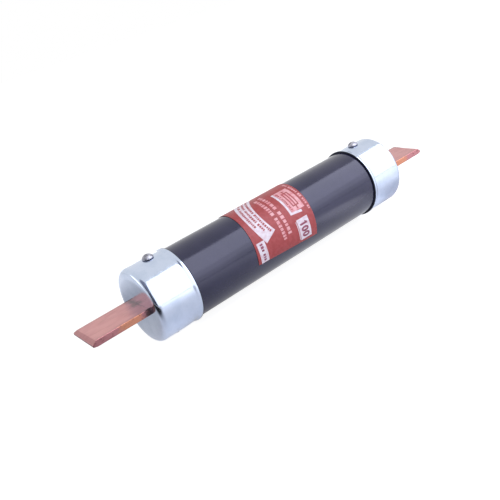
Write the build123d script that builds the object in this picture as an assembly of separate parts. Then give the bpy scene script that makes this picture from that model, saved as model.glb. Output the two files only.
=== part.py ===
"""Knife-blade cartridge fuse with a time-delay trigger.

The fuse lies along X, with its left end at -X. The blades are flat in the XY plane and the drive pins stand
on +Z and -Z. The origin is the centre of the fuse. All sizes are in millimetres.
"""
from build123d import *
from math import cos, radians, sin
import os

# Outside
overall_length = 200.2
blade_exposed = 26.4
cap_diameter = 34.0
cap_length = 20.3
cap_wall = 0.55
cap_edge_radius = 2.4
cap_mouth_chamfer = 0.3
tube_wall = 3.0
tube_end_chamfer = 0.8

# Blades
blade_width = 18.4
blade_thickness = 2.8
blade_edge_radius = 0.2
tip_bevel_length = 1.8
tip_thickness = 1.0
tang_width = 15.2
tang_thickness = 2.4
tang_overhang = 6.0
shoulder_gap = 0.2
tang_corner_radius = 0.6

# Drive pins
pin_from_face = 11.4
pin_diameter = 3.1
pin_depth = 8.7
pin_head_diameter = 4.8
pin_head_height = 1.9
pin_head_rim = 0.5
pin_tip_chamfer = 0.4

# Label
label_length = 35.6
label_centre = -3.7
label_thickness = 0.12
label_start = 200.0
label_wrap = 290.0

# Ends of the tube
gasket_thickness = 1.2
block_length = 14.0
block_chamfer = 0.6
fill_hole_diameter = 4.0
fill_hole_offset = 4.8
fill_plug_length = 6.0

# Short-circuit links and their filler
link_width = 9.0
link_thickness = 0.35
link_tab = 5.0
tab_setback = 1.0
link_rise = 1.6
link_ramp_share = 0.15
bridge_pitch = 3.4
bridges_per_row = 3
bridge_hole_diameter = 2.2
sand_gap = 0.2

# Overload chamber, whose length is that of the trigger and the collector in a row
disc_thickness = 2.0
tongue_thickness = 1.6
tongue_length = 7.0
sleeve_wall = 1.3
housing_diameter = 14.0
housing_wall = 1.0
housing_front_wall = 1.5
housing_cap_flange = 1.5
housing_cap_spigot = 1.6
break_gap = 4.0
collector_length = 10.0
collector_groove_depth = 0.8
collector_groove_width = 1.6
collector_grooves = 2
alloy_thickness = 0.4

# Trigger, armed
plunger_diameter = 5.2
plunger_insertion = 4.3
plunger_collar_thickness = 1.5
plunger_collar_gap = 0.3
plunger_tail = 1.5
plunger_travel = 8.0
plunger_stop_gap = 0.4
plunger_chamfer = 0.4
spring_length = 14.0
spring_wire = 1.1
spring_wire_sides = 6
spring_mean_diameter = 8.8
spring_turns = 5

# Clearances
slide_fit = 0.05
slot_gap = 0.2
overcut = 1.0
label_glue = 0.1
seat_gap = 0.03

# Worked out from the sizes above
body_half = overall_length / 2 - blade_exposed
cap_radius = cap_diameter / 2
tube_radius = cap_radius - cap_wall - slide_fit
bore_radius = tube_radius - tube_wall
plug_radius = bore_radius - slide_fit
cap_inner_end = body_half - cap_wall
tube_half = cap_inner_end - gasket_thickness
block_inner = tube_half - block_length
tang_end = block_inner - tang_overhang
shoulder = body_half + shoulder_gap
pin_x = body_half - pin_from_face
housing_cap_length = housing_cap_flange + housing_cap_spigot
plunger_room = plunger_stop_gap + plunger_travel + plunger_tail + plunger_collar_thickness
spring_room = spring_length + housing_front_wall
chamber_half = (housing_cap_length + plunger_room + spring_room + break_gap + collector_length) / 2
disc_outer = chamber_half + disc_thickness
tongue_end = disc_outer + tongue_length
link_ramp = (tang_end - tongue_end) * link_ramp_share
arch_start = tongue_end + link_ramp
arch_end = tang_end - link_ramp
housing_radius = housing_diameter / 2
housing_bore = housing_radius - housing_wall
housing_rear = housing_cap_flange - chamber_half
sleeve_bore = housing_radius + slide_fit
collector_front = chamber_half - collector_length
cup_end = collector_front + plunger_insertion + slide_fit + alloy_thickness
housing_front = collector_front - break_gap
spring_front = housing_front - housing_front_wall
plunger_radius = plunger_diameter / 2
plunger_tip = collector_front + plunger_insertion
plunger_collar_front = spring_front - spring_length
plunger_collar_rear = plunger_collar_front - plunger_collar_thickness


def nearest_vertex(shape, point):
    """Return the vertex of a shape that lies nearest to a point."""
    target = Vector(*point)
    return min(shape.vertices(), key=lambda vertex: (Vector(*vertex) - target).length)


def turned(points, fillets=()):
    """Revolve an outline of (x, radius) points about X; fillets lists (point, radius) pairs."""
    outline = make_face(Polyline(*points, close=True))
    for point, radius in fillets:
        outline = fillet(nearest_vertex(outline, (*point, 0)), radius)
    return revolve(outline, Axis.X, 360)


def rod(x_start, x_end, radius, inner_radius=0.0):
    """Make a round bar or a ring along X between two stations."""
    section = Plane.YZ.offset(x_start) * Circle(radius)
    if inner_radius > 0:
        section -= Plane.YZ.offset(x_start) * Circle(inner_radius)
    return extrude(section, x_end - x_start)


def flat_bar(x_start, x_end, width, thickness, clearance=0.0):
    """Make a straight flat bar on the axis between two stations, with a clearance round its section."""
    bar = Box(x_end - x_start, width + 2 * clearance, thickness + 2 * clearance)
    return Pos((x_start + x_end) / 2, 0, 0) * bar


def tang_bar(x_start, x_end, clearance):
    """Make a length of the blade's tang, or with a clearance the cutter of its slot."""
    width = tang_width + 2 * clearance
    height = tang_thickness + 2 * clearance
    outline = RectangleRounded(width, height, tang_corner_radius + clearance)
    return extrude(Plane.YZ.offset(x_start) * outline, x_end - x_start)


def both_ends(right_part):
    """Return a piece for the right end and its mirror image for the left end."""
    return {"right": right_part, "left": mirror(right_part, about=Plane.YZ)}


def pin_holes():
    """Make the cutter of the right end's two pin holes, from inside the block out through the cap."""
    reach = cap_radius + overcut - pin_depth
    hole = Pos(pin_x, 0, pin_depth + reach / 2) * Cylinder(pin_diameter / 2 + slide_fit, reach)
    return hole + mirror(hole, about=Plane.XY)


def make_tube():
    """Round insulating tube with chamfered ends and a hole for each drive pin."""
    body = turned([
        (-tube_half, bore_radius),
        (-tube_half, tube_radius - tube_end_chamfer),
        (-tube_half + tube_end_chamfer, tube_radius),
        (tube_half - tube_end_chamfer, tube_radius),
        (tube_half, tube_radius - tube_end_chamfer),
        (tube_half, bore_radius),
    ])
    for cutter in both_ends(pin_holes()).values():
        body -= cutter
    return body


def make_label():
    """Paper strip round the tube from its front edge over the top to the back, open underneath."""
    inner = tube_radius + label_glue
    outer = inner + label_thickness

    def on_ring(radius, turn):
        """Return the point of a ring at a turn counted back from the label's front edge."""
        angle = radians(label_start - turn)
        return (radius * cos(angle), radius * sin(angle))

    half = label_wrap / 2
    outline = make_face([
        ThreePointArc(on_ring(outer, 0), on_ring(outer, half), on_ring(outer, label_wrap)),
        Line(on_ring(outer, label_wrap), on_ring(inner, label_wrap)),
        ThreePointArc(on_ring(inner, label_wrap), on_ring(inner, half), on_ring(inner, 0)),
        Line(on_ring(inner, 0), on_ring(outer, 0)),
    ])
    start = label_centre - label_length / 2
    return extrude(Plane.YZ.offset(start) * outline, label_length)


def make_cap():
    """Drawn cup with a rounded outer edge, a trimmed mouth, a pierced blade slot and two pin holes."""
    mouth = body_half - cap_length
    inner = cap_radius - cap_wall
    corner = (body_half, cap_radius)
    inner_corner = (cap_inner_end, inner)
    outline = [
        (body_half, 0),
        corner,
        (mouth + cap_mouth_chamfer, cap_radius),
        (mouth, cap_radius - cap_mouth_chamfer),
        (mouth, inner),
        inner_corner,
        (cap_inner_end, 0),
    ]
    cup = turned(outline, [(corner, cap_edge_radius), (inner_corner, cap_edge_radius - cap_wall)])
    cup -= tang_bar(cap_inner_end - overcut, body_half + overcut, slot_gap)
    cup -= pin_holes()
    return cup


def make_blade():
    """Blade bevelled to its tip, with its edges broken, and a coined tang that starts just outside the cap."""
    tip = overall_length / 2
    bevel_start = tip - tip_bevel_length
    flat = blade_thickness / 2
    thin = tip_thickness / 2
    outline = [
        (shoulder, flat),
        (bevel_start, flat),
        (tip, thin),
        (tip, -thin),
        (bevel_start, -flat),
        (shoulder, -flat),
    ]
    side = Plane.XZ * make_face(Polyline(*outline, close=True))
    blade = extrude(side, blade_width / 2, both=True)
    broken = [
        edge
        for edge in blade.edges()
        if min(abs(edge.center().X - x) for x in (shoulder, bevel_start)) > blade_edge_radius
    ]
    blade = fillet(broken, blade_edge_radius)
    return blade + tang_bar(tang_end, shoulder, 0)


def make_pins():
    """Domed drive pins on +Z and -Z, driven through the cap and the tube into the terminal block."""
    seat = cap_radius + seat_gap
    crown = seat + pin_head_height
    rim = seat + pin_head_rim
    head_radius = pin_head_diameter / 2
    shank_radius = pin_diameter / 2
    tip = pin_depth + slide_fit
    dome_radius = (head_radius ** 2 + (crown - rim) ** 2) / (2 * (crown - rim))
    outline = make_face([
        Polyline(
            (crown, 0),
            (tip, 0),
            (tip, shank_radius - pin_tip_chamfer),
            (tip + pin_tip_chamfer, shank_radius),
            (seat, shank_radius),
            (seat, head_radius),
            (rim, head_radius),
        ),
        RadiusArc((rim, head_radius), (crown, 0), dome_radius),
    ])
    pin = Pos(pin_x, 0, 0) * Rot(0, -90, 0) * revolve(outline, Axis.X, 360)
    return Compound(children=[pin, mirror(pin, about=Plane.XY)])


def make_gasket():
    """Fibre disc between the cap's end wall and the end of the tube."""
    radius = cap_radius - cap_edge_radius - slide_fit
    disc = rod(tube_half, cap_inner_end, radius)
    return disc - tang_bar(tube_half - overcut, cap_inner_end + overcut, slot_gap)


def make_terminal_block():
    """Brass plug in the tube's end, slotted for the tang, drilled for the pins and for filling."""
    block = turned([
        (block_inner, 0),
        (block_inner, plug_radius - block_chamfer),
        (block_inner + block_chamfer, plug_radius),
        (tube_half, plug_radius),
        (tube_half, 0),
    ])
    block -= tang_bar(block_inner - overcut, tube_half + overcut, slide_fit)
    block -= pin_holes()
    filling = rod(block_inner - overcut, tube_half + overcut, fill_hole_diameter / 2)
    return block - Pos(0, 0, -fill_hole_offset) * filling


def make_fill_plug():
    """Slightly domed plug pressed into the filling hole from outside."""
    radius = fill_hole_diameter / 2 - slide_fit
    plug = rod(tube_half - fill_plug_length, tube_half, radius)
    plug = chamfer(plug.edges().group_by(Axis.X)[0], pin_tip_chamfer)
    return Pos(0, 0, -fill_hole_offset) * plug


def link_steps(clearance):
    """Return the underside of the link as (x, z) points, lowered and lengthened by a clearance."""
    tongue_top = tongue_thickness / 2
    tang_top = tang_thickness / 2
    arch = tang_top + link_rise
    inner_tab = tongue_end - link_tab
    outer_tab = block_inner - tab_setback
    return [
        (inner_tab - clearance, tongue_top - clearance),
        (tongue_end, tongue_top - clearance),
        (arch_start, arch - clearance),
        (arch_end, arch - clearance),
        (tang_end, tang_top - clearance),
        (outer_tab + clearance, tang_top - clearance),
    ]


def link_strip(clearance):
    """Make the pressed strip, or the space that it needs, from its side view."""
    under = link_steps(clearance)
    rise = link_thickness + 2 * clearance
    over = [(x, z + rise) for x, z in reversed(under)]
    side = Plane.XZ * make_face(Polyline(*under, *over, close=True))
    return extrude(side, link_width / 2 + clearance, both=True)


def make_link():
    """Copper strip with rows of round holes and edge notches that leave narrow bridges."""
    strip = link_strip(0)
    middle = (arch_start + arch_end) / 2
    rows = max(1, int((arch_end - arch_start) / bridge_pitch))
    spacing = link_width / bridges_per_row
    cutter = Cylinder(bridge_hole_diameter / 2, tang_thickness + 2 * link_rise)
    for row in range(rows):
        x = middle + (row - (rows - 1) / 2) * bridge_pitch
        for hole in range(bridges_per_row + 1):
            y = -link_width / 2 + hole * spacing
            strip -= Pos(x, y, tang_thickness / 2 + link_rise) * cutter
    return strip


def make_sand():
    """Packed sand between the barrier disc and the terminal block, round the link, tongue and tang."""
    sand = rod(disc_outer, block_inner, plug_radius)
    sand -= flat_bar(disc_outer - overcut, tongue_end + sand_gap, link_width, tongue_thickness, sand_gap)
    sand -= flat_bar(tang_end - sand_gap, block_inner + overcut, tang_width, tang_thickness, sand_gap)
    return sand - link_strip(sand_gap)


def make_barrier_disc():
    """Fibre disc between the sand and the overload chamber, slotted for the tongue."""
    disc = rod(chamber_half, disc_outer, plug_radius)
    slot = flat_bar(chamber_half - overcut, disc_outer + overcut, link_width, tongue_thickness, slide_fit)
    return disc - slot


def tongue():
    """Flat tongue that reaches from the chamber through the right disc and carries the link's tab."""
    return flat_bar(chamber_half - overcut, tongue_end, link_width, tongue_thickness)


def make_sleeve():
    """Insulating sleeve that holds the trigger housing and the heat collector in line."""
    return rod(-chamber_half, chamber_half, sleeve_bore + sleeve_wall, sleeve_bore)


def make_housing():
    """Trigger barrel, open at the rear, with a bored front wall that guides the plunger."""
    guide = plunger_radius + slide_fit
    return turned([
        (housing_rear, housing_radius),
        (housing_front, housing_radius),
        (housing_front, guide),
        (spring_front, guide),
        (spring_front, housing_bore),
        (housing_rear, housing_bore),
    ])


def make_housing_cap():
    """Rear cap of the barrel, with a spigot inside it and a tongue through the left disc."""
    spigot_end = housing_rear + housing_cap_spigot
    spigot = housing_bore - slide_fit
    cap = turned([
        (-chamber_half, 0),
        (-chamber_half, housing_radius),
        (housing_rear, housing_radius),
        (housing_rear, spigot),
        (spigot_end, spigot),
        (spigot_end, 0),
    ])
    return cap + mirror(tongue(), about=Plane.YZ)


def make_plunger():
    """Contact pin with a collar for the spring; its tip is soldered into the collector."""
    collar = housing_bore - plunger_collar_gap
    tail = plunger_collar_rear - plunger_tail
    return turned([
        (tail, 0),
        (tail, plunger_radius - plunger_chamfer),
        (tail + plunger_chamfer, plunger_radius),
        (plunger_collar_rear, plunger_radius),
        (plunger_collar_rear, collar),
        (plunger_collar_front, collar),
        (plunger_collar_front, plunger_radius),
        (plunger_tip - plunger_chamfer, plunger_radius),
        (plunger_tip, plunger_radius - plunger_chamfer),
        (plunger_tip, 0),
    ])


def make_spring():
    """Helical compression spring with flat-ground ends, its round wire drawn as a six-sided one."""
    ground = spring_wire / 4
    coil_height = spring_length - 2 * ground
    pitch = coil_height / spring_turns
    start = plunger_collar_front + ground
    path = Helix(pitch, coil_height, spring_mean_diameter / 2)
    section = Plane(origin=path @ 0, z_dir=path % 0) * RegularPolygon(spring_wire / 2, spring_wire_sides)
    coil = sweep(section, path, is_frenet=True)
    coil = Pos(start, 0, 0) * Rot(0, 90, 0) * coil
    space = rod(plunger_collar_front + seat_gap, spring_front - seat_gap, housing_bore)
    return coil & space


def make_collector():
    """Copper mass with a cup for the plunger's tip, shallow grooves and a tongue through the right disc."""
    cup_radius = plunger_radius + slide_fit + alloy_thickness
    body = rod(collector_front, chamber_half, housing_radius)
    body -= rod(collector_front - overcut, cup_end, cup_radius)
    groove_space = chamber_half - cup_end
    for index in range(collector_grooves):
        centre = cup_end + groove_space * (index + 0.5) / collector_grooves
        low = centre - collector_groove_width / 2
        high = centre + collector_groove_width / 2
        body -= rod(low, high, housing_radius + overcut, housing_radius - collector_groove_depth)
    return body + tongue()


def make_alloy():
    """Thin cup of low-melting alloy between the plunger's tip and the collector."""
    inner = plunger_radius + slide_fit
    outer = inner + alloy_thickness - slide_fit
    floor = plunger_tip + slide_fit
    return rod(collector_front, cup_end, outer) - rod(collector_front - overcut, floor, inner)


parts = {
    "tube": make_tube(),
    "label": make_label(),
    "overload_sleeve": make_sleeve(),
    "trigger_housing": make_housing(),
    "housing_cap": make_housing_cap(),
    "trigger_plunger": make_plunger(),
    "trigger_spring": make_spring(),
    "heat_collector": make_collector(),
    "fusible_alloy": make_alloy(),
}

paired = {
    "cap": make_cap(),
    "blade": make_blade(),
    "cap_pins": make_pins(),
    "cap_gasket": make_gasket(),
    "terminal_block": make_terminal_block(),
    "fill_plug": make_fill_plug(),
    "fuse_link": make_link(),
    "sand_fill": make_sand(),
    "barrier_disc": make_barrier_disc(),
}

for name, right_part in paired.items():
    for end, piece in both_ends(right_part).items():
        parts[f"{name}_{end}"] = piece

os.makedirs("parts", exist_ok=True)
for name, piece in parts.items():
    export_step(piece, f"parts/{name}.step")
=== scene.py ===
"""Finish of a knife-blade cartridge fuse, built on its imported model.

The file is laid out as an add-on and is run as a script. Lengths are in metres. The fuse lies along X with
its left end at -X, its blades are flat in the XY plane and its drive pins stand on +Z and -Z. An angle round
the fuse is counted from +Y towards +Z, so the top is at 90 degrees and the front, on -Y, is at 180.
"""
from math import asin, cos, degrees, pi, radians, sin, tan

import bpy
import numpy as np
from bpy.props import FloatProperty, FloatVectorProperty, IntProperty, PointerProperty
from mathutils import Matrix, Quaternion, Vector


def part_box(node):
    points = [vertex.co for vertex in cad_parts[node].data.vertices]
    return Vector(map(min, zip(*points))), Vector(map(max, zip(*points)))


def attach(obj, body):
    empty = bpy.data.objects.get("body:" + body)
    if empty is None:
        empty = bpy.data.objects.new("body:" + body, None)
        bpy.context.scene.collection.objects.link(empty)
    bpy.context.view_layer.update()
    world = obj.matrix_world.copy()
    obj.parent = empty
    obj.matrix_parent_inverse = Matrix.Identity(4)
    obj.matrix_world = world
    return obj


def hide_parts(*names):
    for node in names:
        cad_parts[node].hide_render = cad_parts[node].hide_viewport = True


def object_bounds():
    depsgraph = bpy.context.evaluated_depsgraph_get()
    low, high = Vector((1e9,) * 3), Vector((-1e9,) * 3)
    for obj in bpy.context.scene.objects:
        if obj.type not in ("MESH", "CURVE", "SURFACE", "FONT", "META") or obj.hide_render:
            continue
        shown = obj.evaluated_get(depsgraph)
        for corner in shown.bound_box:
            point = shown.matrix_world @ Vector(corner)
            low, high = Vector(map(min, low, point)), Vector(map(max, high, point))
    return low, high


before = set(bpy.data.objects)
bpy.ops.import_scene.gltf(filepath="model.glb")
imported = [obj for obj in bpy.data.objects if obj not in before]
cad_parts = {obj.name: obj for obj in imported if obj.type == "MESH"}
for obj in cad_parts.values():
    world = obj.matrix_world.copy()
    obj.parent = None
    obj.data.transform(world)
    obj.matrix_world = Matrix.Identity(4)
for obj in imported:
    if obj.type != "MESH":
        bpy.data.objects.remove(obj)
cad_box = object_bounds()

bl_info = {
    "name": "Cartridge fuse finish",
    "version": (1, 0, 0),
    "blender": (4, 5, 0),
    "location": "3D View > Sidebar > Fuse",
    "description": "Surfaces, materials and studio for a knife-blade cartridge fuse",
    "category": "Object",
}

MM = 0.001
BODY = "fuse_body"
ENDS = {"left": -1, "right": 1}

# How far a cap's end wall leans where its rounded edge starts
CROWN_LEAN = radians(10)
# An edge that turns by more than this is shaded sharp
SHARP_EDGE = radians(40)
# How far from an edge an extra row of points keeps the shading of the flat beside it flat
SUPPORT = 0.15 * MM


def linear(code):
    """Turn an sRGB hex colour such as #C08040 into linear red, green, blue and alpha."""
    channels = np.array([int(code[start:start + 2], 16) for start in (1, 3, 5)]) / 255
    low = channels / 12.92
    high = ((channels + 0.055) / 1.055) ** 2.4
    return (*np.where(channels <= 0.04045, low, high).tolist(), 1.0)


def length(name, description, millimetres):
    """Describe a length that a user can change, given in millimetres and kept in metres."""
    return FloatProperty(
        name=name, description=description, default=millimetres * MM, unit="LENGTH", precision=5)


def turn(name, description, angle):
    """Describe an angle that a user can change, given in degrees and kept in radians."""
    return FloatProperty(name=name, description=description, default=radians(angle), subtype="ANGLE")


def colour(name, description, code):
    """Describe a colour that a user can change, given as an sRGB hex code."""
    return FloatVectorProperty(
        name=name, description=description, default=linear(code), size=4, subtype="COLOR", min=0, max=1)


CAP_LOW, CAP_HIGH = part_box("cap_right")
TUBE_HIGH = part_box("tube")[1]
BLADE_LOW, BLADE_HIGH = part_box("blade_right")
PIN_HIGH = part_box("cap_pins_right")[1]
LABEL_LOW, LABEL_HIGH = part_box("label")
DEGREES_PER_MM = degrees(MM / LABEL_HIGH.z)


class FuseSizes(bpy.types.PropertyGroup):
    """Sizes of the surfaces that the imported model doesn't fix by its boxes."""

    segments: IntProperty(name="Segments", description="Faces round tube and caps", default=192, min=24)
    cap_wall: length("Cap wall", "Thickness of the drawn cup", 0.55)
    cap_edge_radius: length("Cap edge", "Radius of the rounded outer edge", 2.4)
    cap_crown: length("Cap crown", "How far the end wall falls away before the rounded edge", 0.21)
    cap_lip_radius: length("Cap lip", "Radius of the worn edge at the mouth", 0.45)
    cap_neck: length("Cap neck", "Depth of the shallow neck behind the flare", 0.2)
    cap_flare: length("Cap flare", "How far the mouth stands out where it was trimmed", 0.26)
    neck_start: length("Neck start", "Where the neck starts, from the mouth", 9.0)
    flare_start: length("Flare start", "Where the cup starts to flare, from the mouth", 2.4)
    flare_crest: length("Flare crest", "Where the flare is full, from the mouth", 1.1)
    dimple_depth: length("Dimple depth", "How far a driven pin presses the cup in", 0.16)
    dimple_radius: length("Dimple radius", "Reach of the dent round a pin", 2.1)
    slot_width: length("Slot width", "Width of the slot pierced for the blade", 15.6)
    slot_height: length("Slot height", "Height of the slot pierced for the blade", 2.8)
    slot_corner: length("Slot corner", "Corner radius of the slot", 0.8)
    slot_break: length("Slot edge", "Rounding of the slot's outer edge", 0.12)
    tube_wall: length("Tube wall", "Thickness of the tube", 3.0)
    tube_chamfer: length("Tube chamfer", "Chamfer of the tube's ends", 0.8)
    blade_edge: length("Blade edge", "Radius of the blade's broken edges", 0.2)
    tip_bevel: length("Tip bevel", "Length of the bevel at the blade's tip", 1.8)
    tip_thickness: length("Tip thickness", "Thickness of the blade at its very tip", 1.0)
    tip_tilt: turn("Tip tilt", "How far a tip's edge leans, seen along the fuse", 3.0)
    tip_skew: turn("Tip skew", "How far the right blade was cut out of square", 6.5)
    blade_shoulder: length("Blade shoulder", "Distance of the blade's shoulder from the middle", 73.71)
    tang_width: length("Tang width", "Width of the blade inside the cap", 15.2)
    tang_height: length("Tang thickness", "Thickness of the blade inside the cap", 2.4)
    tang_corner: length("Tang corner", "Corner radius of the tang", 0.6)
    pin_from_face: length("Pin distance", "Distance of the pins from the cap's end face", 11.4)
    pin_radius: length("Pin radius", "Radius of the pin's shank", 1.55)
    pin_head_radius: length("Pin head", "Radius of the pin's head", 2.5)
    pin_head_height: length("Pin head height", "Height of the domed head", 1.9)
    pin_rim: length("Pin rim", "Height of the straight rim under the dome", 0.5)
    pin_tip_chamfer: length("Pin tip", "Chamfer of the pin's tip", 0.4)
    pin_reach: length("Pin reach", "Distance of the pin's tip from the fuse's axis", 8.75)
    label_thickness: length("Label thickness", "Thickness of the paper", 0.12)
    label_start: turn("Label start", "Angle of the label's front edge", 200.0)
    label_wrap: turn("Label wrap", "How far the label goes round the tube", 290.0)
    label_skew: turn("Label skew", "How far the label was put on out of square", 3.3)
    ink_height: length("Ink height", "How far the print stands on the paper", 0.015)


class FuseColours(bpy.types.PropertyGroup):
    """Colours of the surfaces in view."""

    tube: colour("Tube", "Dyed fibre", "#1B1C36")
    cap: colour("Cap", "Bright zinc plate", "#C8D2E5")
    pin: colour("Pin", "Nickel plate", "#B4B2BB")
    copper: colour("Copper", "Rolled faces of the blades", "#CC9594")
    copper_edge: colour("Copper edge", "Sheared edges of the blades, toned like old copper", "#B57C80")
    # Painted highlight: this orange band on the sheared edges stands for light reflected there
    copper_highlight: colour("Heated copper", "Orange where the soldering heat cleaned the edges", "#CB8C68")
    # Painted shade: the dark at the root of the blades, where they go into the caps
    root_shade: colour("Soot", "Burnt flux at the root of the blades", "#6A5558")
    flux: colour("Flux", "Grey-green stain at the root of the blades", "#82796F")
    red_paper: colour("Red paper", "Ground colour of the label", "#99383A")
    white_ink: colour("White ink", "Panels of the label", "#E4DBE4")
    dark_ink: colour("Dark ink", "Print on the white panels", "#7C2B42")
    pale_ink: colour("Pale ink", "Print on the red ground", "#DFA9AE")


class FuseStudio(bpy.types.PropertyGroup):
    """Camera and light."""

    lens: FloatProperty(name="Lens", description="Focal length on a 36 mm sensor", default=47.98)
    distance: length("Distance", "From the aim point to the camera", 309.35)
    azimuth: turn("Azimuth", "Camera's turn about Z, from a view along +Y", -31.65)
    elevation: turn("Elevation", "Camera's height above the horizon", 21.17)
    roll: turn("Roll", "Camera's turn about its own axis", -18.31)
    aim: FloatVectorProperty(
        name="Aim", description="What it looks at", default=(-0.01153, 0.00461, -0.00549), unit="LENGTH")
    world_light: FloatProperty(name="World light", description="Strength of the even light", default=0.45)
    key_light: FloatProperty(name="Key light", description="Brightness of the large soft lamp", default=2.45)
    side_light: FloatProperty(name="Side light", description="Brightness of the left lamp", default=1.35)


def sizes():
    """Return the sizes of the current scene."""
    return bpy.context.scene.fuse_sizes


def colours():
    """Return the colours of the current scene."""
    return bpy.context.scene.fuse_colours


# Surfaces

def arc(centre, radius, start, end, steps):
    """Points of an arc: the centre plus the radius times the cosine and sine of each angle in degrees."""
    angles = np.radians(np.linspace(start, end, steps))
    return centre + radius * np.column_stack([np.cos(angles), np.sin(angles)])


def shell(points, ring=False):
    """Return the points and faces of a closed surface given as a grid of points.

    A face joins each point to its neighbours in the next row and column, and each row closes on itself. The
    last row of a ring joins the first one; else a flat face closes both. The sum over the faces of
    p0 . ((p1 - p3) x p2) is six times the volume, so where it is negative, the faces are turned round.
    """
    rows, columns = points.shape[:2]
    index = np.arange(rows * columns).reshape(rows, columns)
    lids = [] if ring else [index[0][::-1].tolist(), index[-1].tolist()]
    if ring:
        index = np.vstack([index, index[:1]])
    index = np.hstack([index, index[:, :1]])
    corners = (index[:-1, :-1], index[:-1, 1:], index[1:, 1:], index[1:, :-1])
    quads = np.stack(corners, axis=-1).reshape(-1, 4)
    flat = points.reshape(-1, 3)
    centred = flat - flat.mean(axis=0)
    p0, p1, p2, p3 = (centred[quads[:, corner]] for corner in range(4))
    faces = quads.tolist() + lids
    if np.sum(p0 * np.cross(p1 - p3, p2)) < 0:
        faces = [face[::-1] for face in faces]
    return flat, faces


def add_object(name, data):
    """Put a mesh, a lamp or a camera in the scene."""
    made = bpy.data.objects.new(name, data)
    bpy.context.scene.collection.objects.link(made)
    return made


def add_mesh(name, points, faces, material):
    """Put a mesh of one material in the scene."""
    mesh = bpy.data.meshes.new(name)
    mesh.from_pydata(points, [], faces)
    mesh.materials.append(material)
    return add_object(name, mesh)


def make_piece(name, shells, material, replaced=()):
    """Join shells in one mesh object that rides on the fuse's body."""
    points = []
    faces = []
    for flat, own_faces in shells:
        start = len(points)
        points.extend(flat.tolist())
        faces.extend([[start + corner for corner in face] for face in own_faces])
    piece = add_mesh(name, points, faces, material)
    piece.data.shade_smooth()
    piece.data.set_sharp_from_angle(angle=SHARP_EDGE)
    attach(piece, BODY)
    if replaced:
        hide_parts(*replaced)


def on_tube(x, angle, radius):
    """Points on a round body: y and z are the radius times the cosine and sine of the angle in degrees."""
    turned = np.radians(angle)
    x, y, z = np.broadcast_arrays(x, radius * np.cos(turned), radius * np.sin(turned))
    return np.stack([x, y, z], axis=-1)


def lathe(profile, segments):
    """Carry (x, radius) points round X."""
    return on_tube(profile[:, :1], np.linspace(0, 360, segments, endpoint=False), profile[:, 1:])


def rounded_rectangle(width, height, radius):
    """Outlines of rounded rectangles, one for each entry of the arrays width, height and radius.

    Each corner is a quarter circle about a point that lies one radius inside both sides, with one more point
    on each straight side close by, which keeps the shading of the flat sides flat.
    """
    width, height, radius = (np.atleast_1d(size).astype(float)[:, None] for size in (width, height, radius))
    shares = np.pad(np.linspace(0, 1, 6), 1, mode="edge")
    slide = np.zeros(len(shares))
    slide[[0, -1]] = -SUPPORT, SUPPORT
    outline = []
    for corner, (side_x, side_y) in enumerate(((1, 1), (-1, 1), (-1, -1), (1, -1))):
        angles = radians(90) * (corner + shares)
        x = side_x * (width / 2 - radius) + radius * np.cos(angles) - slide * np.sin(angles)
        y = side_y * (height / 2 - radius) + radius * np.sin(angles) + slide * np.cos(angles)
        outline.append(np.stack([x, y], axis=-1))
    return np.concatenate(outline, axis=1)


def travelled(line):
    """How far along a line of points each of them lies."""
    steps = np.linalg.norm(np.diff(line, axis=0), axis=1)
    return np.concatenate([[0], np.cumsum(steps)])


def along(line, distances):
    """Points at distances along a line of points."""
    reached = travelled(line)
    return np.column_stack([np.interp(distances, reached, column) for column in line.T])


def along_outline(outline, shares):
    """Points at given shares of the length of a closed outline, counted from where it crosses +X."""
    start = [(outline[:, 0].max(), 0.0)]
    closed = np.vstack([start, outline, start])
    return along(closed, shares * travelled(closed)[-1])


# Materials

# What makes a Map Range node go from value to value smoothly
SMOOTH = {"interpolation_type": "SMOOTHSTEP"}


def add(tree, kind, links=(), **settings):
    """Add a shader node with its settings and links.

    A link gives an input, by name or in order, a value, a hex colour, a socket or a node's first live output.
    """
    node = tree.nodes.new("ShaderNode" + kind)
    for name, value in settings.items():
        setattr(node, name, value)
    for name, value in links.items() if isinstance(links, dict) else enumerate(links):
        if isinstance(value, bpy.types.Node):
            value = next(socket for socket in value.outputs if socket.enabled)
        if isinstance(value, bpy.types.NodeSocket):
            tree.links.new(value, node.inputs[name])
        else:
            node.inputs[name].default_value = linear(value) if isinstance(value, str) else value
    return node


def start_material(name):
    """Make a material and return it with its empty node tree."""
    material = bpy.data.materials.new(name)
    material.use_nodes = True
    material.node_tree.nodes.clear()
    return material, material.node_tree


def close_material(material, tone, blur, bump, constants):
    """Join colour, roughness and relief in the surface; constants are plain values of its other sockets."""
    tree = material.node_tree
    inputs = {"Base Color": tone, "Roughness": blur, "Normal": bump, **constants}
    add(tree, "OutputMaterial", [add(tree, "BsdfPrincipled", inputs)])
    return material


def place(tree, stretch=(1, 1, 1)):
    """Object coordinates in millimetres, each divided by how far the pattern is drawn out along that axis."""
    scale = [1 / MM / factor for factor in stretch]
    coordinates = add(tree, "TexCoord").outputs["Object"]
    return add(tree, "Mapping", {"Vector": coordinates, "Scale": scale})


def axes(tree):
    """Object coordinates in millimetres as three separate values."""
    return add(tree, "SeparateXYZ", [place(tree)]).outputs[:]


def grain(tree, size, stretch=(1, 1, 1), detail=3.0):
    """Smooth noise whose spots are about the given size in millimetres."""
    return add(tree, "TexNoise", {"Vector": place(tree, stretch), "Scale": 1 / size, "Detail": detail})


def patches(tree, size, low, high, to_low=0.0, to_high=1.0, stretch=(1, 1, 1), detail=3.0):
    """Noise of a size in millimetres, of which the part between two levels is spread between two values."""
    noise = grain(tree, size, stretch, detail)
    return add(tree, "MapRange", [noise, low, high, to_low, to_high], **SMOOTH)


def coats(tree, ground, *layers):
    """Lay colours over a ground; each layer is the share that it covers and its colour."""
    for share, tone in layers:
        ground = add(tree, "Mix", {0: share, 6: ground, 7: tone}, data_type="RGBA")
    return ground


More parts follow.
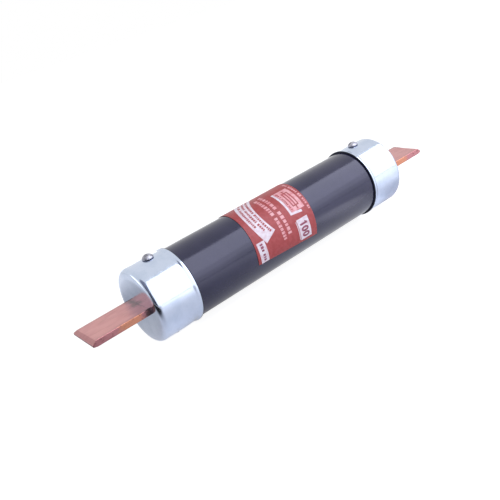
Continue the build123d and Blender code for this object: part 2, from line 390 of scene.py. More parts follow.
def relief(tree, *layers):
    """Lay bumps over each other; each layer is a height pattern and its depth in millimetres."""
    below = {}
    for height, depth in layers:
        bump = add(tree, "Bump", {"Height": height, "Distance": depth * MM, "Strength": 1.0, **below})
        below = {"Normal": bump}
    return bump


def fibre_tube_lacquered():
    """Vulcanised fibre, wound and dyed through, ground round and lacquered.

    The lacquer gives the eye a dark satin mirror, the winding a slow waviness in it, and the grinding very
    fine lines round the tube.
    """
    material, tree = start_material("vulcanised fibre, lacquered")
    tone = coats(tree, colours().tube, (patches(tree, 9.0, 0.3, 0.7, to_high=0.35), "#2E2C48"))
    blur = patches(tree, 2.5, 0.3, 0.75, 0.13, 0.2, detail=5.0)
    waves = grain(tree, 16.0, (2.2, 1, 1), detail=1.0)
    lines = grain(tree, 0.35, (1, 14, 14), detail=2.0)
    bump = relief(tree, (waves, 0.35), (lines, 0.0015))
    return close_material(material, tone, blur, bump, {"IOR": 1.56, "Specular Tint": "#EDEDFF"})


def zinc_plated_steel():
    """Deep-drawn steel cup, bright zinc plated and clear passivated.

    The plate gives a slightly blurred bluish mirror, and the drawing die faint lines along the cup. The
    sheared edge at the mouth is unplated steel, and its dark colour is partly painted shade for the gap
    between the cup and the tube.
    """
    material, tree = start_material("zinc plated drawn steel")
    from_middle = add(tree, "Math", [axes(tree)[0]], operation="ABSOLUTE")
    mouth = CAP_LOW.x / MM
    # The sheared edge at the mouth is unplated steel; its dark colour is also painted shade in the gap
    # between cup and tube
    bare_edge_and_gap_shade = add(tree, "MapRange", [from_middle, mouth + 0.65, mouth + 0.4], **SMOOTH)
    cloud = patches(tree, 5.0, 0.35, 0.75, detail=4.0)
    tone = coats(tree, colours().cap, (cloud, "#BDC9DD"), (bare_edge_and_gap_shade, "#2A2C36"))
    bare_edge_and_gap_blur = add(tree, "Math", [bare_edge_and_gap_shade, 0.45], operation="MULTIPLY")
    plate_blur = patches(tree, 1.8, 0.3, 0.8, 0.12, 0.2, detail=5.0)
    blur = add(tree, "Math", [plate_blur, bare_edge_and_gap_blur], operation="MAXIMUM")
    pull = grain(tree, 7.0, (1.5, 1, 1), detail=1.0)
    draw_lines = grain(tree, 0.5, (30, 1, 1), detail=2.0)
    bump = relief(tree, (pull, 0.05), (draw_lines, 0.0012))
    return close_material(material, tone, blur, bump, {"Metallic": 1.0})


def nickel_plated_pin():
    """Cold-headed steel pin with nickel plate: a blurred mirror, dull grey where the hammer struck it."""
    material, tree = start_material("nickel plated steel")
    cloud = patches(tree, 1.1, 0.3, 0.75)
    struck = patches(tree, 1.5, 0.5, 0.6, to_high=0.55)
    tone = coats(tree, colours().pin, (cloud, "#9FA3AE"), (struck, "#4E4C58"))
    blur = patches(tree, 0.6, 0.3, 0.75, 0.4, 0.48)
    bump = relief(tree, (grain(tree, 1.2, detail=1.0), 0.06))
    return close_material(material, tone, blur, bump, {"Metallic": 1.0})


def rolled_copper():
    """Cold-rolled copper bar, sheared to length, bevelled and soldered into the cap.

    The rolled faces are dull pink with fine lines along the bar, with painted shade towards the long edges
    and on the darker bevel. The sheared edges have toned to a brownish pink, with an orange band of painted
    highlight. Painted shade darkens the root, and a grey-green flux stain lies there. Places are in
    millimetres from the middle of the fuse.
    """
    material, tree = start_material("cold rolled copper")
    tints = colours()
    x, y, _ = axes(tree)
    out = add(tree, "Math", [x], operation="ABSOLUTE")
    side = add(tree, "Math", [y], operation="ABSOLUTE")
    root = sizes().blade_shoulder / MM
    crease = (BLADE_HIGH.x - sizes().tip_bevel) / MM
    half_width = BLADE_HIGH.y / MM

    blotch = patches(tree, 3.5, 0.35, 0.7, stretch=(1.6, 1, 1), detail=5.0)
    smear = patches(tree, 1.4, 0.52, 0.72, to_high=0.4, stretch=(5, 1, 1), detail=4.0)
    # Painted shade: the tip's bevel face is coloured darker in place of the shade that falls on it
    bevel = add(tree, "MapRange", [out, crease - 0.15, crease + 0.15, 0.0, 0.5], **SMOOTH)
    # Painted shade: the rolled faces darken towards the long edges, where they round off
    painted_edge_shade = add(tree, "MapRange", [side, half_width - 2.4, half_width - 0.5, 0.0, 0.5], **SMOOTH)
    face = coats(tree, tints.copper, (blotch, "#C48D8E"), (smear, "#A88078"),
                 (bevel, "#94666B"), (painted_edge_shade, "#B38683"))

    spread = 9.0
    # An orange band on the sheared edges about nine millimetres out from the root, a painted highlight
    highlight_centre = root + 9.0
    wander = [grain(tree, 1.8, (2, 1, 1)), spread, -spread / 2 - highlight_centre]
    drift = add(tree, "Math", wander, operation="MULTIPLY_ADD")
    from_highlight = add(tree, "Math", [add(tree, "Math", [out, drift])], operation="ABSOLUTE")
    painted_highlight = add(tree, "MapRange", [from_highlight, 6.5, 3.5, 0.0, 0.75], **SMOOTH)
    spots = patches(tree, 1.1, 0.56, 0.7, to_high=0.6, stretch=(1.5, 1, 1), detail=4.0)
    sheared = coats(tree, tints.copper_edge, (painted_highlight, tints.copper_highlight), (spots, "#7C5350"))
    edge = add(tree, "MapRange", [side, half_width - 0.3, half_width - 0.05], **SMOOTH)

    wander = [grain(tree, 2.2, detail=5.0), spread, -spread / 2]
    ragged = add(tree, "Math", wander, operation="MULTIPLY_ADD")
    reach = add(tree, "Math", [out, ragged])
    clean_side = add(tree, "MapRange", [y, 1.0, -4.0, 0.0, 3.0], **SMOOTH)
    stain_reach = add(tree, "Math", [reach, clean_side])
    stain = add(tree, "MapRange", [stain_reach, root + 3.0, root + 0.3, 0.0, 0.72], **SMOOTH)
    # Painted shade at the root, where each blade goes into its cap, reaching furthest along the edges
    shade_along_edges = add(tree, "MapRange", [side, half_width - 1.4, half_width, 0.0, 4.0], **SMOOTH)
    shade_reach = add(tree, "Math", [reach, shade_along_edges], operation="SUBTRACT")
    painted_root_shade = add(tree, "MapRange", [shade_reach, root + 0.1, root - 3.2], **SMOOTH)
    tone = coats(tree, face, (edge, sheared), (stain, tints.flux), (painted_root_shade, tints.root_shade))

    bar_blur = patches(tree, 1.2, 0.3, 0.75, 0.3, 0.44, stretch=(6, 1, 1), detail=4.0)
    root_shade_blur = add(tree, "Math", [painted_root_shade, 0.75], operation="MULTIPLY")
    blur = add(tree, "Math", [bar_blur, root_shade_blur], operation="MAXIMUM")
    dents = grain(tree, 1.6, (2, 1, 1))
    rolling = grain(tree, 0.3, (40, 1, 1), detail=2.0)
    bump = relief(tree, (dents, 0.03), (rolling, 0.004))
    return close_material(material, tone, blur, bump, {"Metallic": 1.0})


def printed_paper(name, ink, worn, gloss):
    """Coated label paper, printed in one ink.

    The coat gives a weak, soft gloss, the paper's fibres a slight mottle, and rubbing pales the ink in spots.
    """
    material, tree = start_material(name)
    mottle = patches(tree, 1.6, 0.35, 0.7, detail=6.0)
    specks = patches(tree, 0.5, 0.66, 0.74, to_high=0.4, detail=4.0)
    tone = coats(tree, ink, (mottle, worn), (specks, worn))
    blur = patches(tree, 2.2, 0.3, 0.7, gloss - 0.05, gloss + 0.07, detail=4.0)
    bump = relief(tree, (grain(tree, 6.0, detail=2.0), 0.05), (grain(tree, 0.25, detail=2.0), 0.004))
    return close_material(material, tone, blur, bump, {"IOR": 1.45})


def paper_red():
    """The label's own red, which is also the ink on the pale panel and the banner."""
    return printed_paper("coated paper, red", colours().red_paper, "#A44346", 0.44)


def plain_metal(name, code, dull_code, gloss, size):
    """Machined or drawn metal inside the fuse: two tones of one metal, uneven gloss and fine tool marks."""
    material, tree = start_material(name)
    tone = coats(tree, code, (patches(tree, size, 0.35, 0.7, detail=4.0), dull_code))
    blur = patches(tree, size / 2, 0.3, 0.7, gloss - 0.06, gloss + 0.08)
    bump = relief(tree, (grain(tree, 0.3, (1, 8, 8)), 0.004))
    return close_material(material, tone, blur, bump, {"Metallic": 1.0})


def plain_matter(name, code, dull_code, gloss, size, depth):
    """Fibre, moulded or granular matter inside the fuse: two tones, a dull surface and its own grain."""
    material, tree = start_material(name)
    tone = coats(tree, code, (patches(tree, size, 0.35, 0.7, detail=5.0), dull_code))
    blur = patches(tree, size * 2, 0.3, 0.7, gloss - 0.08, gloss + 0.08)
    return close_material(material, tone, blur, relief(tree, (grain(tree, size), depth)), {"IOR": 1.5})


# Operators, one for each piece or group of like pieces

class FUSE_OT_tube(bpy.types.Operator):
    """Build the insulating tube"""

    bl_idname = "fuse.tube"
    bl_label = "Tube"

    def execute(self, context):
        """A closed profile of two chamfered ends and a bore, carried round X."""
        size = sizes()
        radius = TUBE_HIGH.z
        bore = radius - size.tube_wall
        end = TUBE_HIGH.x
        chamfer = size.tube_chamfer
        close_by = chamfer / 4
        right = np.array([
            (end - chamfer - close_by, radius), (end - chamfer, radius), (end, radius - chamfer),
            (end, radius - chamfer - close_by), (end, bore + close_by), (end, bore), (end - close_by, bore)])
        profile = np.vstack([right, right[::-1] * (-1, 1)])
        tube = shell(lathe(profile, size.segments), ring=True)
        make_piece("lacquered_tube", [tube], fibre_tube_lacquered(), ["tube"])
        return {"FINISHED"}


def smooth_step(value, start, end):
    """Rise from 0 at the start to 1 at the end, level at both."""
    share = np.clip((value - start) / (end - start), 0, 1)
    return share ** 2 * (3 - 2 * share)


def cap_profile(size):
    """Profile of the cap from the slot's inner edge over the outside to the slot again.

    The columns are x, the radius that the full circle has there, and the share of the way from the slot's
    outline, 0, to that circle, 1. The end wall runs out from the slot and falls away over a wide arc that
    starts at right angles to the axis and ends at the crown's lean. A second arc rounds the edge. The side
    sinks by a smooth step to a shallow neck and rises by another to the flared mouth. The lip is a quarter
    circle and the inside is one wall further in.
    """
    face = CAP_HIGH.x
    mouth = CAP_LOW.x
    radius = CAP_HIGH.z
    wall = size.cap_wall
    edge = size.cap_edge_radius
    rim = radius - edge
    inner = radius - wall
    lip = size.cap_lip_radius
    lean = degrees(CROWN_LEAN)
    crown_radius = size.cap_crown / (1 - cos(CROWN_LEAN))
    flat = rim + (edge - crown_radius) * sin(CROWN_LEAN)
    edge_start = face - size.cap_crown - edge * cos(CROWN_LEAN)
    broken = arc((face - size.slot_break, 0), size.slot_break, 90, 0, 4)[:, 0]
    neck_start = mouth + size.neck_start
    to_neck = np.linspace(edge_start - SUPPORT, neck_start, 30)
    side = np.append(to_neck, np.linspace(neck_start, mouth + lip, 32)[1:])
    sunk = smooth_step(side - mouth, size.neck_start, size.flare_start)
    swell = smooth_step(side - mouth, size.flare_start, size.flare_crest)
    drawn = radius - size.cap_neck * sunk + (size.cap_neck + size.cap_flare) * swell
    close_by = 0.1 * MM
    circles = np.vstack([
        arc((face - crown_radius, flat), crown_radius, 0, lean, 7),
        arc((edge_start, rim), edge, lean, 90, 14)[1:],
        np.column_stack([side, drawn]),
        arc((mouth + lip, radius + size.cap_flare - lip), lip, 90, 180, 7)[1:],
        [(mouth, inner + close_by), (mouth, inner), (mouth + close_by, inner)],
        arc((face - edge, rim), edge - wall, 90, 0, 8),
    ])
    slot = [(x, rim, 0.0) for x in (face - wall, *broken)]
    end_wall = [(face, flat, share) for share in (0.03, 0.06, 0.3, 0.6, 0.9, 0.98)]
    inner_wall = [(face - wall, rim, share) for share in (0.95, 0.5, 0.06)]
    return np.vstack([slot, end_wall, np.insert(circles, 2, 1.0, axis=1), inner_wall])


class FUSE_OT_caps(bpy.types.Operator):
    """Build the two plated end caps"""

    bl_idname = "fuse.caps"
    bl_label = "Caps"

    def execute(self, context):
        """Each point lies between the slot's outline and a circle, and the pins dent the side round them."""
        size = sizes()
        shares = np.linspace(0, 1, size.segments, endpoint=False)
        outline = rounded_rectangle(size.slot_width, size.slot_height, size.slot_corner)[0]
        slot = along_outline(outline, shares)
        circle = arc((0, 0), 1, 0, 360, size.segments + 1)[:-1]
        x, radius, share = (column[:, None, None] for column in cap_profile(size).T)
        across = (1 - share) * slot + share * radius * circle
        points = np.dstack([np.broadcast_to(x[..., 0], across.shape[:2]), across])
        pin_x = CAP_HIGH.x - size.pin_from_face
        apart = np.hypot(points[..., 0] - pin_x, points[..., 1])
        dent = size.dimple_depth * np.exp(-(apart / size.dimple_radius) ** 2)
        on_side = (share[..., 0] == 1.0) & (np.abs(points[..., 2]) > CAP_HIGH.z / 2)
        points[..., 2] -= np.where(on_side, np.sign(points[..., 2]) * dent, 0)
        material = zinc_plated_steel()
        for end, sign in ENDS.items():
            cup = shell(points * (sign, 1, 1), ring=True)
            make_piece(f"plated_cap_{end}", [cup], material, [f"cap_{end}"])
        return {"FINISHED"}


class FUSE_OT_blades(bpy.types.Operator):
    """Build the two copper knife blades"""

    bl_idname = "fuse.blades"
    bl_label = "Blades"

    def execute(self, context):
        """Rounded rectangles carried along X.

        Over the bevel the thickness falls in proportion to the distance and the edge leans by its tilt times
        y. At the tip both sizes shrink by a quarter circle, and the right blade's tip is sheared by its skew
        times y.
        """
        size = sizes()
        width = 2 * BLADE_HIGH.y
        height = 2 * BLADE_HIGH.z
        edge = size.blade_edge
        tip = BLADE_HIGH.x
        shrink, tip_x = arc((edge, tip - edge), edge, 90, 180, 6).T
        crease = tip - size.tip_bevel
        shoulder = size.blade_shoulder
        flats = [crease + SUPPORT, crease, crease - SUPPORT, shoulder + SUPPORT, shoulder]
        x = np.concatenate([[tip], tip_x, flats, [shoulder] * 3, [BLADE_LOW.x + SUPPORT, BLADE_LOW.x]])
        inset = np.concatenate([[edge + SUPPORT], shrink, np.zeros(5), [SUPPORT]])
        bevelled = np.clip((tip - x[:len(inset)]) / size.tip_bevel, 0, 1)
        full = size.tip_thickness + (height - size.tip_thickness) * bevelled
        tang = np.ones(4)
        widths = np.concatenate([width - 2 * inset, size.tang_width * tang])
        heights = np.concatenate([full - 2 * inset, size.tang_height * tang])
        # The tang's first row lies in the face of the shoulder
        widths[-4] += SUPPORT
        heights[-4] += SUPPORT
        corner = np.concatenate([np.maximum(edge - inset, edge / 20), size.tang_corner * tang])
        outlines = rounded_rectangle(widths, heights, corner)
        points = np.dstack([np.broadcast_to(x[:, None], outlines.shape[:2]), outlines])
        outside = points[:len(inset)]
        outside[..., 2] += tan(size.tip_tilt) * outside[..., 1] * (1 - bevelled)[:, None]
        material = rolled_copper()
        for end, sign in ENDS.items():
            own = points * (sign, 1, 1)
            if end == "right":
                at_tip = own[..., 0] > crease - SUPPORT * 2
                own[..., 0] += np.where(at_tip, tan(size.tip_skew) * own[..., 1], 0)
            make_piece(f"copper_blade_{end}", [shell(own)], material, [f"blade_{end}"])
        return {"FINISHED"}


class FUSE_OT_drive_pins(bpy.types.Operator):
    """Build the domed drive pins"""

    bl_idname = "fuse.drive_pins"
    bl_label = "Drive pins"

    def execute(self, context):
        """A profile of shank, rim and dome carried round its own axis, then stood on +Z and on -Z.

        The rim's lower edge is a small bend. The dome is an arc, and a tiny lid closes it close to its pole.
        """
        size = sizes()
        crown = PIN_HIGH.z
        seat = crown - size.pin_head_height
        rim = seat + size.pin_rim
        rise = crown - rim
        head = size.pin_head_radius
        dome = (head ** 2 + rise ** 2) / (2 * rise)
        reach = degrees(asin(head / dome))
        tip = size.pin_reach
        shank = size.pin_radius
        chamfer = size.pin_tip_chamfer
        bend = 0.15 * MM
        pole = 0.5
        profile = np.vstack([
            [(tip, shank - chamfer), (tip + chamfer, shank), (seat, shank), (seat, head - bend)],
            arc((seat + bend, head - bend), bend, 180, 90, 4),
            arc((crown - dome, 0), dome, reach, pole, 12),
        ])
        up, x, y = np.moveaxis(lathe(profile, size.segments // 4), -1, 0)
        material = nickel_plated_pin()
        for end, sign in ENDS.items():
            pin_x = sign * (CAP_HIGH.x - size.pin_from_face)
            pins = [shell(np.stack([pin_x + x, y, way * up], axis=-1)) for way in (1, -1)]
            make_piece(f"domed_pins_{end}", pins, material, [f"cap_pins_{end}"])
        return {"FINISHED"}


class FUSE_OT_label(bpy.types.Operator):
    """Build the paper label"""

    bl_idname = "fuse.label"
    bl_label = "Label"

    def execute(self, context):
        """A thin section carried round the tube; its edges lie in planes tilted by the skew.

        A point keeps its place across the label and moves along X in proportion to the sine of its angle from
        the level one. The front and back edges lean by the same skew.
        """
        size = sizes()
        outer = LABEL_HIGH.z
        inner = outer - size.label_thickness
        middle = (LABEL_LOW.x + LABEL_HIGH.x) / 2
        half = (LABEL_HIGH.x - LABEL_LOW.x) / 2
        fine = size.label_thickness / 5
        between = np.linspace(-half + 4 * fine, half - 4 * fine, 9)
        across = np.concatenate([[-half, -half + fine], between, [half - fine, half]])
        upper = np.full(len(across), outer)
        upper[[0, -1]] -= fine
        lower = np.full(len(across), inner)
        u = np.concatenate([across, across[::-1]])
        radius = np.concatenate([upper, lower])
        stations = 146
        level_angle = 150
        turns = np.linspace(0, degrees(size.label_wrap), stations)[:, None]
        lean = degrees(tan(size.label_skew) / outer) * u
        angle = degrees(size.label_start) - turns + lean
        drift = -outer * tan(size.label_skew) * np.sin(np.radians(angle - level_angle))
        points = on_tube(middle + u + drift, angle, radius)
        make_piece("paper_label", [shell(points)], paper_red(), ["label"])
        return {"FINISHED"}


# Print on the label. A mark is its path of (x, angle) points in metres and degrees, its width, and whether it
# is closed.

def ribbon(path, width, closed, rise):
    """A flat stroke of ink that follows the path of a mark.

    Its section is a low rectangle with several points across, so that it follows the paper. Its sides lie
    half the width to the left and right of the path, measured on the unrolled paper, and its top is one rise
    above the paper.
    """
    paper = LABEL_HIGH.z
    spacing = 0.5 * MM
    flat = np.column_stack([path[:, 0], np.radians(path[:, 1]) * paper])
    if closed:
        ahead = np.roll(flat, -1, axis=0) - np.roll(flat, 1, axis=0)
    else:
        ahead = np.gradient(flat, axis=0)
    ahead /= np.linalg.norm(ahead, axis=1)[:, None]
    sideways = np.column_stack([-ahead[:, 1], ahead[:, 0]])
    across = np.linspace(-width / 2, width / 2, 2 + int(width / spacing))
    there_and_back = np.concatenate([across, across[::-1]])
    rows = flat[:, None, :] + there_and_back[:, None] * sideways[:, None, :]
    levels = paper + np.repeat([-rise, rise], len(across))
    points = on_tube(rows[..., 0], np.degrees(rows[..., 1] / paper), levels)
    return shell(points, ring=closed)


def unroll(route):
    """A route of (millimetre, degree) points laid flat in millimetres."""
    return np.array(route, float) / (1, DEGREES_PER_MM)


def stroke(route, width, start=0.0, stop=None):
    """A mark along part of a route of (millimetre, degree) points, of a width in millimetres."""
    flat = unroll(route)
    spacing = 0.35
    if stop is None:
        stop = travelled(flat)[-1]
    distances = np.linspace(start, stop, max(2, int((stop - start) / spacing) + 1))
    return along(flat, distances) * (MM, DEGREES_PER_MM), width * MM, False


def block_words(route, height, seed):
    """Small solid blocks in groups along a route, which stand for a line of small print.

    In parts of the height, a block is 0.35 to 0.8 long and 0.72 to 1 wide, and a gap is 0.22 or, between
    groups, 0.75.
    """
    source = np.random.default_rng(seed)
    blocks_in_word = 5
    whole = travelled(unroll(route))[-1]
    marks = []
    reached = 0.0
    while reached < whole - height * 0.5:
        stop = min(reached + height * source.uniform(0.35, 0.8), whole)
        marks.append(stroke(route, height * source.uniform(0.72, 1.0), reached, stop))
        gap = 0.75 if source.random() < 1 / blocks_in_word else 0.22
        reached = stop + height * gap
    return marks


def plain_number(centre, height):
    """The number 100, read along the front from the top down: one bar with a flag and two oval rings."""
    x, angle = centre
    pitch = 2.6
    line = 0.9
    flag_line = 0.6
    top = x + height / 2
    bottom = x - height / 2
    one = angle - 0.85 * pitch * DEGREES_PER_MM
    marks = [stroke([(bottom, one), (top, one)], line),
             stroke([(top - 0.35, one), (top - 1.2, one - 0.9 * DEGREES_PER_MM)], flag_line)]
    tall = (height - line) / 2
    wide = 0.8
    oval = arc((0, 0), 1, 0, 360, 33)[:-1] * (tall * MM, wide * DEGREES_PER_MM)
    for aside in (0.25, 0.25 + pitch):
        marks.append((oval + (x * MM, angle + aside * DEGREES_PER_MM), line * MM, True))
    return marks


class FUSE_OT_label_print(bpy.types.Operator):
    """Print generic panels, blocks, a number and a fuse symbol on the label"""

    bl_idname = "fuse.label_print"
    bl_label = "Label print"

    def execute(self, context):
        """Every mark is a low ribbon that follows a path on the unrolled paper.

        The banner's x is a parabola of its angle, lowest at 129 degrees. Print on a panel is twice as high.
        """
        tints = colours()
        inks = (("white", tints.white_ink, "#D6C0CB"), ("dark red", tints.dark_ink, "#95506A"),
                ("pale", tints.pale_ink, "#CF8087"))
        white, dark, pale = (printed_paper(f"screen ink, {name}", ink, worn, gloss=0.38)
                             for name, ink, worn in inks)
        turned = np.linspace(58, 165, 60)
        banner = np.column_stack([-14.55 + 0.0021 * (turned - 129) ** 2, turned])
        panels = [stroke(banner, 7.5)]
        bars = ((-18.3, 164.0, 197.0, 4.4), (6.7, 164.0, 198.0, 6.6), (2.9, 166.0, 196.0, 0.35),
                (3.0, 104.0, 150.0, 1.2))
        panels += [stroke([(x, first), (x, last)], width) for x, first, last, width in bars]
        panels.append(stroke([(2.4, 151.0), (9.0, 154.0)], 1.2))
        on_red = [stroke([(7.6, 104.0), (7.6, 150.5)], 7.6)]
        rows = ((-1.9, 92.0, 178.0, 2.2, 3), (-5.2, 96.0, 183.0, 2.0, 4), (13.1, 92.0, 160.0, 1.3, 5))
        for x, first, last, height, seed in rows:
            on_red += block_words([(x, first), (x, last)], height, seed)
        on_white = block_words([(-18.3, 167.0), (-18.3, 195.0)], 1.6, 8)
        on_white += plain_number((6.7, 181.0), 4.2)
        line = 0.6
        symbol = [stroke([(x, 114.0), (x, 142.0)], line) for x in (6.4, 9.4)]
        symbol += [stroke([(6.1, end), (9.7, end)], line) for end in (114.0, 142.0)]
        symbol.append(stroke([(7.9, 107.0), (7.9, 148.5)], line))
        symbol += block_words([(4.6, 107.0), (4.6, 147.0)], 0.9, 9)
        for aside, last, seed in ((2.25, -4, 6), (0.1, -6, 10), (-2.05, -10, 7)):
            symbol += block_words(banner[4:last] + (aside, 0), 1.25, seed)
        rise = sizes().ink_height
        prints = (("white", panels, white, rise), ("pale", on_red, pale, rise),
                  ("dark", on_white, dark, 2 * rise), ("symbol", symbol, paper_red(), 2 * rise))
        for name, marks, ink, height in prints:
            make_piece(f"label_print_{name}", [ribbon(*mark, height) for mark in marks], ink)
        return {"FINISHED"}


class FUSE_OT_inner_finishes(bpy.types.Operator):
    """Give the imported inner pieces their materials"""

    bl_idname = "fuse.inner_finishes"
    bl_label = "Inner finishes"

    def execute(self, context):
        """Each inner node gets the finish of what it is made of; its mesh stays as it is."""
        board = plain_matter("grey vulcanised fibre board", "#6F6A66", "#575350", 0.6, 1.2, 0.02)
        finishes = {
            "terminal_block": plain_metal("turned brass", "#D8BC7E", "#B89A60", 0.3, 3.0),
            "fill_plug": plain_metal("tinned brass", "#C9C6BC", "#A8A59C", 0.35, 2.0),
            "cap_gasket": board,
            "barrier_disc": board,
            "fuse_link": plain_metal("silvered copper strip", "#DDBBA4", "#C99C86", 0.28, 2.0),
            "sand_fill": plain_matter("bonded quartz sand", "#D9CFBC", "#B9AC95", 0.8, 0.6, 0.15),
            "overload_sleeve": plain_matter("glass melamine tube", "#B9B29A", "#9E977F", 0.45, 2.0, 0.01),
            "trigger_housing": plain_metal("drawn nickel silver", "#C6C2B4", "#A9A597", 0.26, 3.0),
            "housing_cap": plain_metal("pressed brass", "#D2B679", "#B1935C", 0.32, 3.0),
            "trigger_plunger": plain_metal("turned copper", "#D99C80", "#B97A62", 0.27, 2.0),
            "trigger_spring": plain_metal("music wire", "#8B8D92", "#6D6F75", 0.25, 1.0),
            "heat_collector": plain_metal("cast copper", "#C98A70", "#A96D57", 0.38, 2.5),
            "fusible_alloy": plain_metal("low-melting solder", "#B5B7BA", "#96999D", 0.4, 1.5),
        }
        for name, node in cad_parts.items():
            stem = name.removesuffix("_left").removesuffix("_right")
            if stem in finishes:
                for slot in node.material_slots:
                    slot.material = finishes[stem]
        return {"FINISHED"}


def add_lamp(name, centre, across, upward, width, height, brightness, tint=(1.0, 1.0, 1.0)):
    """Hang a soft oblong lamp with its width along one direction; brightness is what a mirror would show."""
    data = bpy.data.lights.new(name, "AREA")
    data.shape = "RECTANGLE"
    data.size = width
    data.size_y = height
    data.energy = brightness * width * height * pi
    data.color = tint
    lamp = add_object(name, data)
    side = across.normalized()
    up = (upward - side * side.dot(upward)).normalized()
    lamp.location = centre
    lamp.rotation_mode = "QUATERNION"
    lamp.rotation_quaternion = Matrix((side, up, side.cross(up))).transposed().to_quaternion()
    lamp.visible_camera = False
    return lamp


def stage_sheet(name, corners, material):
    """A flat sheet that belongs to the stage."""
    sheet = add_mesh(name, corners, [list(range(len(corners)))], material)
    return sheet


def ray_kinds(tree):
    """Return what is 1 for camera rays, and what is 1 for the rays by which mirrors and glass see."""
    path = add(tree, "LightPath").outputs
    seen_in = [path["Is Glossy Ray"], path["Is Transmission Ray"]]
    return path["Is Camera Ray"], add(tree, "Math", seen_in, operation="MAXIMUM")


def near_spot(tree, centre, distances, values):
    """Go from one value to another between two distances, in millimetres, from a point of the floor."""
    point = (*centre, cad_box[0].z / MM)
    apart = add(tree, "VectorMath", [place(tree), point], operation="DISTANCE")
    return add(tree, "MapRange", [apart, *distances, *values], **SMOOTH)


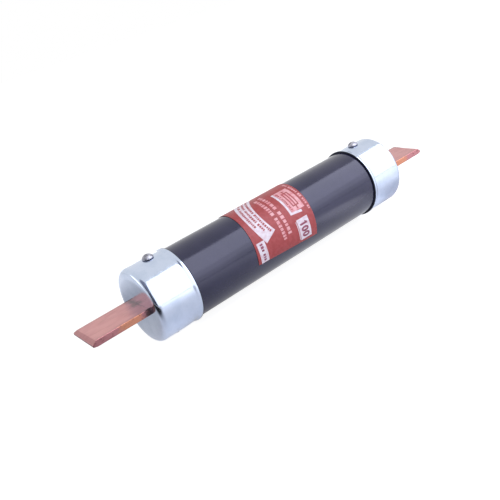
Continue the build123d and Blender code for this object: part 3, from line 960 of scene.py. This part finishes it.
class FUSE_OT_stage(bpy.types.Operator):
    """Set up the floor, the world, the lamps and the camera"""

    bl_idname = "fuse.stage"
    bl_label = "Stage"

    def execute(self, context):
        """White ground, a large soft lamp with a reflector, a smaller lamp on the left and a dark card."""
        scene = context.scene
        rig = scene.fuse_studio
        self.make_floor(cad_box[0].z)
        self.make_world(scene, rig.world_light)
        self.make_lamps(rig)
        self.make_card(cad_box[0].z)
        self.make_camera(scene, rig)
        scene.view_settings.view_transform = "Standard"
        return {"FINISHED"}

    def make_floor(self, level):
        """A wide pale floor that the camera sees white, with a faint shadow.

        Mirrors see its own shade with a glow, which is painted light, and a dark patch in front of the left
        end, which is painted shade. The glow is a sum of smooth rises along one axis, given by their start,
        their end and the glow at both, of spots given by their centre, two distances from it and the glow at
        both, and of a painted shade near the fuse's right half.
        """
        material, tree = start_material("white paper floor")
        by_camera, in_mirror = ray_kinds(tree)
        x, y, _ = axes(tree)
        rises = ((x, -92.0, -60.0, 0.02, 0.32), (x, -60.0, 50.0, 0.0, 0.68), (x, 60.0, 75.0, 0.0, -0.4),
                 (y, 55.0, 98.0, 0.0, 0.54), (y, -80.0, -40.0, 0.2, 0.0))
        spots = (((-92.0, 3.0), (12.0, 42.0), (0.29, 0.0)), ((52.0, -42.0), (6.0, 28.0), (0.9, 0.0)),
                 ((78.0, -16.0), (10.0, 34.0), (-0.12, 0.0)))
        from_axis = add(tree, "Math", [y], operation="ABSOLUTE")
        near_fuse = add(tree, "MapRange", [from_axis, 16.0, 42.0, -0.4, 0.0], **SMOOTH)
        to_right = add(tree, "MapRange", [x, -30.0, 60.0], **SMOOTH)
        glow_level = add(tree, "Math", [near_fuse, to_right], operation="MULTIPLY")
        terms = [add(tree, "MapRange", rise, **SMOOTH) for rise in rises]
        terms += [near_spot(tree, *spot) for spot in spots]
        for term in terms:
            glow_level = add(tree, "Math", [glow_level, term])
        patch = near_spot(tree, (-190.0, -70.0), (76.0, 112.0), (0.02, 1.0))
        for share in (in_mirror, patch):
            glow_level = add(tree, "Math", [glow_level, share], operation="MULTIPLY")
        camera_glow = 0.9
        glow_level = add(tree, "Math", [by_camera, camera_glow, glow_level], operation="MULTIPLY_ADD")
        shade = coats(tree, "#000000", (patch, "#CDCED2"), (by_camera, "#9C9C9E"))
        paper = add(tree, "BsdfDiffuse", [shade])
        glow = add(tree, "Emission", {"Strength": glow_level})
        add(tree, "OutputMaterial", [add(tree, "AddShader", [paper, glow])])
        reach = 4.0
        corners = [(a * reach, b * reach, level) for a, b in ((-1, -1), (1, -1), (1, 1), (-1, 1))]
        stage_sheet("floor", corners, material)

    def make_world(self, scene, strength):
        """Even light, seen as plain white by camera, glossy and transmission rays."""
        world = bpy.data.worlds.new("white surroundings")
        scene.world = world
        world.use_nodes = True
        tree = world.node_tree
        tree.nodes.clear()
        seen = add(tree, "Math", ray_kinds(tree), operation="MAXIMUM")
        level = add(tree, "MapRange", [seen, 0.0, 1.0, strength, 1.0])
        ground = add(tree, "Background", {"Color": "#FFFFFF", "Strength": level})
        add(tree, "OutputWorld", [ground])

    def make_lamps(self, rig):
        """Hang the lamps.

        The large lamp is a leaning sheet of light in three bands, one above the other, of which the lower two
        are dimmer. A dim reflector, which only mirrors see, carries the sheet on to the left. The side lamp
        stands upright beyond the left end.
        """
        middle = Vector((0.275, -0.2225, 0.205))
        across = Vector((0.933, 0.361, 0.0))
        upward = Vector((-0.192, 0.495, 0.847))
        width = 0.62
        reflector_size = (0.56, 0.62)
        side_lamp_size = (0.39, 0.54)
        daylight = (0.95, 0.975, 1.1)
        bands = (("key_lamp", -0.07, 0.275, 1.0), ("key_lamp_lower", -0.16, -0.07, 0.7),
                 ("key_lamp_lowest", -0.245, -0.16, 0.4))
        for name, low, high, share in bands:
            centre = middle + upward * (low + high) / 2
            add_lamp(name, centre, across, upward, width, high - low, rig.key_light * share, daylight)
        beside = middle - across * (width + reflector_size[0]) / 2
        dim = rig.key_light * 0.32
        reflector = add_lamp("reflector", beside, across, upward, *reflector_size, dim, daylight)
        reflector.visible_diffuse = False
        away = Vector((-0.838, 0.630, 0.025))
        top = Vector((0, 0, 1))
        add_lamp("side_lamp", away, top.cross(away), top, *side_lamp_size, rig.side_light)

    def make_card(self, level):
        """Stand a dark card in two sheets beside the camera, which only mirrors see.

        Its glow rises smoothly from 0.09 at 20 mm under the fuse's axis to 0.36 at 320 mm above it.
        """
        material, tree = start_material("dark card")
        brightness = add(tree, "MapRange", [axes(tree)[2], -20.0, 320.0, 0.09, 0.36], **SMOOTH)
        glow = add(tree, "Emission", {"Color": "#E4E6FF", "Strength": brightness})
        add(tree, "OutputMaterial", [glow])
        foot = level + 0.5 * MM
        fold = [(-0.291, -0.227, 0.19), (-0.393, 0.10, 0.254)]
        lower = [(-0.357, -0.379, foot), (-0.42, 0.0, foot), (-0.41, 0.0, 0.08), fold[1], fold[0]]
        upper = fold + [(-0.24, 0.002, 0.429), (-0.144, -0.149, 0.435)]
        for name, corners in (("dark_card_lower", lower), ("dark_card_upper", upper)):
            sheet = stage_sheet(name, corners, material)
            sheet.visible_camera = False
            sheet.visible_diffuse = False
            sheet.visible_shadow = False

    def make_camera(self, scene, rig):
        """Stand the camera at its azimuth, elevation and distance from the aim point, and roll it."""
        data = bpy.data.cameras.new("camera")
        data.lens = rig.lens
        data.clip_start = 0.01
        data.clip_end = 20.0
        camera = add_object("camera", data)
        level = cos(rig.elevation)
        back = Vector((sin(rig.azimuth) * level, -cos(rig.azimuth) * level, sin(rig.elevation)))
        camera.location = Vector(rig.aim) + back * rig.distance
        camera.rotation_mode = "QUATERNION"
        camera.rotation_quaternion = (-back).to_track_quat("-Z", "Y") @ Quaternion((0, 0, 1), rig.roll)
        scene.camera = camera


class FUSE_PT_build(bpy.types.Panel):
    """Lists the steps that finish the fuse"""

    bl_idname = "FUSE_PT_build"
    bl_label = "Cartridge fuse"
    bl_space_type = "VIEW_3D"
    bl_region_type = "UI"
    bl_category = "Fuse"

    def draw(self, context):
        """One button for each step, with the sizes, colours and studio settings under them."""
        for step in STEPS:
            self.layout.operator(step.bl_idname)
        for name in GROUPS:
            group = getattr(context.scene, name)
            box = self.layout.box()
            for setting in group.__annotations__:
                box.prop(group, setting)


STEPS = (
    FUSE_OT_stage,
    FUSE_OT_tube,
    FUSE_OT_caps,
    FUSE_OT_blades,
    FUSE_OT_drive_pins,
    FUSE_OT_label,
    FUSE_OT_label_print,
    FUSE_OT_inner_finishes,
)
GROUPS = {"fuse_sizes": FuseSizes, "fuse_colours": FuseColours, "fuse_studio": FuseStudio}
CLASSES = (*GROUPS.values(), *STEPS, FUSE_PT_build)


def register():
    """Register the classes and hang the settings on the scene."""
    for item in CLASSES:
        bpy.utils.register_class(item)
    for name, group in GROUPS.items():
        setattr(bpy.types.Scene, name, PointerProperty(type=group))


def unregister():
    """Take the settings and the classes away again."""
    for name in GROUPS:
        delattr(bpy.types.Scene, name)
    for item in reversed(CLASSES):
        bpy.utils.unregister_class(item)


def main():
    """Build everything."""
    register()
    for step in STEPS:
        group, name = step.bl_idname.split(".")
        getattr(getattr(bpy.ops, group), name)()


if __name__ == "__main__":
    main()
